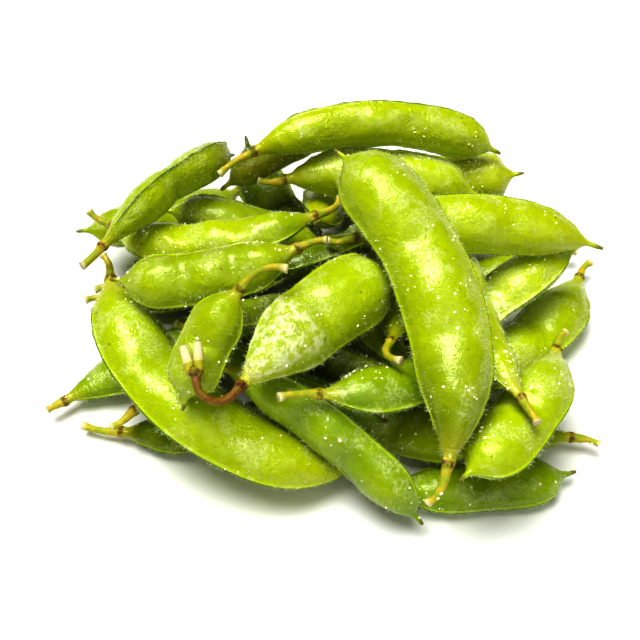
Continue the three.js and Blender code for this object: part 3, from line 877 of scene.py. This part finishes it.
def crust(name, zones, sky):
    """1 where a pod's neck carries a crust of brine, which is also painted highlight where it faces up.
    """
    reach = NECKS_UNDER_CRUST_AND_HIGHLIGHT.get(name, 0.0)
    near_neck = np.clip((BODY_ZONE + reach - zones) / CRUST_AND_HIGHLIGHT_EDGE, 0, 1)
    return near_neck * np.clip(sky / CRUST_AND_HIGHLIGHT_FACING, 0, 1) * (zones > BODY_ZONE)


# %% Helpers for pieces
def point_values(values, mesh_property, size=1):
    """What a mesh holds for its points, as an array with one row or number for each."""
    found = np.empty(len(values) * size, dtype=np.float32)
    values.foreach_get(mesh_property, found)
    return found if size == 1 else found.reshape(-1, size)


def new_piece(name, mesh):
    piece = bpy.data.objects.new(name, mesh)
    bpy.context.scene.collection.objects.link(piece)
    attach(piece, "root")
    return piece


# %% Build the skins
FLOOR_GAP = 0.02 * MM


def rest_on_floor(mesh):
    """Flatten what the relief pushed below the floor."""
    places = point_values(mesh.vertices, "co", size=3)
    places[:, 2] = np.maximum(places[:, 2], FLOOR_GAP)
    mesh.vertices.foreach_set("co", places.ravel())
    mesh.update()


def make_pod(pod, seed):
    rough = skin_mesh(pod)
    mesh = run_tree(RELIEF, rough, pod.name + "_skin", {**RELIEF_SIZES, "Seed": seed})
    bpy.data.meshes.remove(rough)
    rest_on_floor(mesh)
    mesh.materials.clear()
    mesh.materials.append(SKIN)
    mesh.materials.append(STALK)
    zones = point_values(mesh.attributes["zone"].data, "value")
    sky = point_values(mesh.vertex_normals, "vector", size=3)[:, 2]
    write_values(mesh, "sky", sky)
    write_values(mesh, "crust", crust(pod.name, zones, sky))
    write_values(mesh, "dryness", np.full(len(zones), float(pod.name in DRY_STALKS)))
    tint = mesh.attributes.new("tint", "FLOAT_COLOR", "POINT")
    tint.data.foreach_set("color", pod_tints(pod.name, zones).astype(np.float32).ravel())
    for face in mesh.polygons:
        face.use_smooth = True
        face.material_index = int(max(zones[vertex] for vertex in face.vertices) <= BODY_ZONE)
    piece = new_piece(pod.name + "_skin", mesh)
    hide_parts(pod.name)
    return piece


PIECES = [make_pod(pod, seed) for seed, pod in enumerate(PODS)]
print(len(PIECES), "skins with", sum(len(piece.data.polygons) for piece in PIECES), "faces")

# %% [markdown]
# ## A split stalk
# One stalk near the front tore when its pod was picked. It ends in a brown knot with two pale
# prongs of fibre. They are a few tapered tubes, small enough to be laid out one by one along the
# direction in which the stalk ends.

# %% Tubes
TUBE_SIDES = 10


def fibre_mesh(name, middles, radii, zones):
    """A closed round tube through a few middles that lie nearly in line, in millimetres."""
    middles = np.array(middles)
    along = unit(middles[-1] - middles[0])
    across = unit(np.cross(along, (0.3, 0.5, 0.8)))  # any direction off the tube's own will do
    flat = np.cross(along, across)
    angles = np.arange(TUBE_SIDES) * 2 * math.pi / TUBE_SIDES
    circle = np.cos(angles)[:, None] * across + np.sin(angles)[:, None] * flat
    rings = middles[:, None] + np.array(radii)[:, None, None] * circle
    points = np.concatenate([rings.reshape(-1, 3), middles[:1], middles[-1:]])
    mesh = tube_mesh(name, points, len(middles), TUBE_SIDES)
    write_values(mesh, "zone", [*np.repeat(zones, TUBE_SIDES), zones[0], zones[-1]])
    for face in mesh.polygons:
        face.use_smooth = True
    return mesh


def add_piece(name, mesh, material):
    mesh.materials.clear()
    mesh.materials.append(material)
    new_piece(name, mesh)
    print(name, "has", len(mesh.polygons), "faces")


# %% The knot and its prongs
SPLIT_POD = next(pod for pod in PODS if pod.name == "crown_pod_6")
# millimetres past the stalk's end, radii in millimetres, and zones, which give the colour
KNOT = ([-0.6, 0.0, 0.7, 1.4], [0.85, 1.5, 1.6, 1.0], [1.7, 1.7, 1.7, 1.7])
PRONG = ([0.2, 1.1, 2.4, 4.2, 5.8], [0.8, 1.0, 1.05, 0.95, 0.75], [1.7, 0.9, 0.1, 0.0, 0.0])
PRONG_OFFSET = 0.85        # millimetres between a prong and the stalk's line at its root
PRONG_SPREAD = 0.12        # millimetres that it moves off for each millimetre outwards


def along_stalk(steps, aside):
    """Middles past the stalk's end, and set aside to -1 or 1 so that two prongs part."""
    forward = unit(SPLIT_POD.middles[0] - SPLIT_POD.middles[1])
    sideways = unit(np.cross(forward, (0.0, 1.0, 0.0)))
    steps = np.array(steps)[:, None]
    spread = PRONG_OFFSET + PRONG_SPREAD * steps
    return SPLIT_POD.middles[0] + forward * steps + sideways * aside * spread


def add_fibre(name, sizes, aside):
    steps, radii, zones = sizes
    add_piece(name, fibre_mesh(name, along_stalk(steps, aside), radii, zones), STALK)


add_fibre("stalk_knot", KNOT, 0.0)
add_fibre("stalk_prong_1", PRONG, -1.0)
add_fibre("stalk_prong_2", PRONG, 1.0)

# %% [markdown]
# ## Fuzz
# Soybean pods are hairy: short pale bristles stand on the skin, thickest along the seams, and a
# boiled pod still shows them against the light. There are tens of thousands, so Geometry Nodes
# scatters them over the skin. One bristle is a three-sided sliver, leaning a little at random. None
# stands near the floor, where it would stick through.

# %% Scattering on a skin
CLEAR_OF_FLOOR = 1.7 * MM  # height below which nothing is scattered
SCALE_SEED_SHIFT = 1000    # keeps the draws for sizes apart from the draws for places


def random_vector(tree, low, high, seed):
    limits = {0: low, 1: high, "Seed": seed}
    return put(tree, "FunctionNodeRandomValue", limits, data_type="FLOAT_VECTOR").outputs[0]


def leaning(tree, upright, lean, seed):
    """A random turn about the normal and a random lean off it, in radians."""
    tilt = random_vector(tree, (-lean, -lean, -math.pi), (lean, lean, math.pi), seed)
    tilt = put(tree, "FunctionNodeEulerToRotation", {0: tilt}).outputs[0]
    turn = {"Rotation": upright, "Rotate By": tilt}
    return put(tree, "FunctionNodeRotateRotation", turn, rotation_space="LOCAL").outputs[0]


def scatter(tree, given, density, shape, lean, scales):
    """Stand a shape on random points of a surface that are clear of the floor."""
    place = put(tree, "GeometryNodeInputPosition").outputs[0]
    height = put(tree, "ShaderNodeSeparateXYZ", {0: place}).outputs["Z"]
    density = times(tree, density, math_node(tree, "GREATER_THAN", height, CLEAR_OF_FLOOR))
    seed = given["Seed"]
    draw = {"Mesh": given["Geometry"], "Density": density, "Seed": seed}
    points = put(tree, "GeometryNodeDistributePointsOnFaces", draw, distribute_method="RANDOM").outputs
    shifted = {0: seed, 1: SCALE_SEED_SHIFT}
    shifted = put(tree, "FunctionNodeIntegerMath", shifted, operation="ADD").outputs[0]
    stand = {
        "Points": points["Points"],
        "Instance": shape,
        "Rotation": leaning(tree, points["Rotation"], lean, seed),
        "Scale": random_vector(tree, *scales, shifted),
    }
    return put(tree, "GeometryNodeInstanceOnPoints", stand).outputs[0]


def on_every_pod(name, tree, sizes, first_seed):
    """One mesh of what the tree makes on all the skins, with a seed of its own for each."""
    joined = bmesh.new()
    for seed, piece in enumerate(PIECES, start=first_seed):
        mesh = run_tree(tree, piece.data, name, {**sizes, "Seed": seed})
        joined.from_mesh(mesh)
        bpy.data.meshes.remove(mesh)
    whole = bpy.data.meshes.new(name)
    joined.to_mesh(whole)
    joined.free()
    return whole


# %% The sizes of the bristles
FUZZ_FIRST_SEED = 100
FUZZ_LEAN = 0.7            # radians
FUZZ_SCALES = ((0.8, 0.8, 0.4), (1.0, 1.0, 1.0))
FUZZ_SIZES = {
    "Length": 1.2 * MM,
    "Thickness": 0.10 * MM,
    "Density": 0.26 / MM**2,
    "Seam density": 2.6 / MM**2,
}


# %% The bristles
def fuzz_tree():
    tree, given = new_geometry_tree("Fuzz", FUZZ_SIZES)
    radius = times(tree, given["Thickness"], 0.5)
    cone = {"Vertices": 3, "Radius Bottom": radius, "Depth": given["Length"]}
    sliver = put(tree, "GeometryNodeMeshCone", cone, fill_type="NGON").outputs[0]
    density = raised(tree, named(tree, "seam"), given["Seam density"], given["Density"])
    on_pod = math_node(tree, "GREATER_THAN", named(tree, "zone"), BODY_ZONE)
    hairs = scatter(tree, given, times(tree, density, on_pod), sliver, FUZZ_LEAN, FUZZ_SCALES)
    finish_tree(tree, hairs, given["Material"])
    return tree


def fuzz_material():
    material, tree, shader = new_material("fuzz")
    tone = effect(tree, MOTTLE, Patch_size=3 * MM, Contrast=3.0)
    colour = mix_colours(tree, tone, linear("e8edc0"), linear("fffff2"))
    tree.links.new(colour, shader.inputs["Base Color"])
    tree.links.new(raised(tree, tone, 0.2, 0.35), shader.inputs["Roughness"])
    return material


FUZZ = on_every_pod("pod_fuzz", fuzz_tree(), FUZZ_SIZES, FUZZ_FIRST_SEED)
add_piece("pod_fuzz", FUZZ, fuzz_material())

# %% [markdown]
# ## Salt
# The pods are tossed with salt while they are wet. Some grains stay whole, singly and in drifts,
# mostly on the upper sides. A grain is a small cube with knocked corners. A noise gathers them, and
# the way the skin faces keeps them off the undersides.

# %% The sizes of the salt
SALT_FIRST_SEED = 300
SALT_LEAN = 1.5            # radians
SALT_SCALES = ((0.3, 0.3, 0.3), (1.3, 1.3, 1.3))
DRIFT_EDGE = (0.54, 0.70)  # where a drift of grains starts and is full, in heights of the noise
BETWEEN_DRIFTS = 0.03      # share of the grains that lie outside the drifts
SALT_FACING = (-0.1, 0.5)  # how far up the skin has to face for the first grains and for all
KNOCK_SHARE = 0.5          # share of a grain's size by which its corners are knocked
SALT_SIZES = {"Grain size": 0.38 * MM, "Density": 0.24 / MM**2, "Drift size": 10 * MM}


# %% The grains
def knocked(tree, grains, size):
    """Grains with every corner moved at random, by a noise drawn from the corner's own place."""
    place = put(tree, "GeometryNodeInputPosition").outputs[0]
    knock = put(tree, "ShaderNodeTexWhiteNoise", {"Vector": place}, noise_dimensions="3D")
    centred = {0: knock.outputs["Color"], 1: (0.5, 0.5, 0.5)}
    centred = put(tree, "ShaderNodeVectorMath", centred, operation="SUBTRACT").outputs[0]
    offset = scaled(tree, centred, times(tree, size, KNOCK_SHARE))
    return put(tree, "GeometryNodeSetPosition", {"Geometry": grains, "Offset": offset}).outputs[0]


def salt_tree():
    tree, given = new_geometry_tree("Salt", SALT_SIZES)
    size = given["Grain size"]
    cube = put(tree, "ShaderNodeCombineXYZ", {"X": size, "Y": size, "Z": size}).outputs[0]
    grain = put(tree, "GeometryNodeMeshCube", {"Size": cube}).outputs[0]
    place = put(tree, "GeometryNodeInputPosition").outputs[0]
    scale = noise_scale(tree, given["Drift size"])
    noise = put(tree, "ShaderNodeTexNoise", {"Vector": place, "Scale": scale, "Detail": 1.0}).outputs[0]
    drift = ramp(tree, noise, *DRIFT_EDGE, BETWEEN_DRIFTS, 1.0)
    normal = put(tree, "GeometryNodeInputNormal").outputs[0]
    upward = put(tree, "ShaderNodeSeparateXYZ", {0: normal}).outputs["Z"]
    share = times(tree, drift, ramp(tree, upward, *SALT_FACING))
    density = times(tree, share, given["Density"])
    grains = realize(tree, scatter(tree, given, density, grain, SALT_LEAN, SALT_SCALES))
    finish_tree(tree, knocked(tree, grains, size), given["Material"])
    return tree


def salt_material():
    material, tree, shader = new_material("salt")
    tone = effect(tree, MOTTLE, Patch_size=0.5 * MM, Contrast=3.0)
    colour = mix_colours(tree, tone, linear("f8f4dc"), linear("fffdf0"))
    tree.links.new(colour, shader.inputs["Base Color"])
    tree.links.new(raised(tree, tone, 0.2, 0.1), shader.inputs["Roughness"])
    # painted light: the grains glow faintly, so their shaded faces never go dark
    set_numbers(shader, {"Emission Color": linear("fff8dc"), "Emission Strength": 0.22})
    return material


SALT = on_every_pod("salt_grains", salt_tree(), SALT_SIZES, SALT_FIRST_SEED)
add_piece("salt_grains", SALT, salt_material())

# %% [markdown]
# ## The floor
# A plain pale floor, large enough to fill the view.

# %% Floor
FLOOR_SIZE = 30.0          # metres
FLOOR_LOOK = {"Base Color": (0.92, 0.92, 0.92, 1.0), "Roughness": 0.6}


def make_floor():
    mesh = bpy.data.meshes.new("floor")
    half = FLOOR_SIZE / 2
    corners = [(-half, -half, 0.0), (half, -half, 0.0), (half, half, 0.0), (-half, half, 0.0)]
    mesh.from_pydata(corners, [], [(0, 1, 2, 3)])
    material, _, shader = new_material("floor")
    set_numbers(shader, FLOOR_LOOK)
    mesh.materials.append(material)
    floor = bpy.data.objects.new("floor", mesh)
    bpy.context.scene.collection.objects.link(floor)


make_floor()
